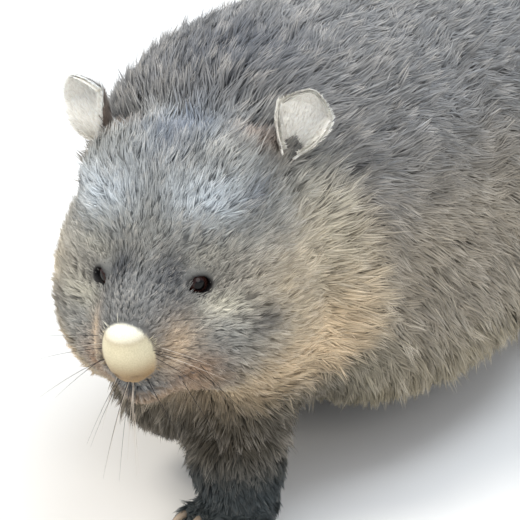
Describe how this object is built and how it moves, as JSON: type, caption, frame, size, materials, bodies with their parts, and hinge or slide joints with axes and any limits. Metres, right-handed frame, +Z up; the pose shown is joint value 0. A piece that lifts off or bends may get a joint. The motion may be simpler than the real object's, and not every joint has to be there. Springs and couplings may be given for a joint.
{
  "type": "wombat model",
  "caption": "Life-size still model of a hairy-nosed wombat, walking with its head held low and turned a little to its left, standing on four soles.",
  "frame": {"origin": "on the floor, under the middle of the box that holds the whole body", "axes": "+Z up, the animal faces -Y, +X is its left side"},
  "size_m": [0.3474, 0.8334, 0.3849],
  "materials": {
    "coat": "grizzled grey-brown fur, silky",
    "pale_coat": "short pale fur, white inside the ears",
    "nose": "short velvety pale hair",
    "eye": "wet, polished",
    "claw": "horn, worn"
  },
  "bodies": {
    "root": {"claw_forepaw_left_1": "claw", "claw_forepaw_left_2": "claw", "claw_forepaw_left_3": "claw", "claw_forepaw_left_4": "claw", "claw_forepaw_left_5": "claw", "claw_forepaw_right_1": "claw", "claw_forepaw_right_2": "claw", "claw_forepaw_right_3": "claw", "claw_forepaw_right_4": "claw", "claw_forepaw_right_5": "claw", "claw_hindfoot_left_1": "claw", "claw_hindfoot_left_2": "claw", "claw_hindfoot_left_3": "claw", "claw_hindfoot_left_4": "claw", "claw_hindfoot_right_1": "claw", "claw_hindfoot_right_2": "claw", "claw_hindfoot_right_3": "claw", "claw_hindfoot_right_4": "claw", "ear_left": "pale_coat", "ear_right": "pale_coat", "eye_left": "eye", "eye_right": "eye", "foreleg_left": "coat", "foreleg_right": "coat", "forepaw_left": "coat", "forepaw_right": "coat", "head": "coat", "hindfoot_left": "coat", "hindfoot_right": "coat", "hindleg_left": "coat", "hindleg_right": "coat", "neck": "coat", "nose": "nose", "tail": "coat", "torso": "coat"}
  },
  "joints": []
}
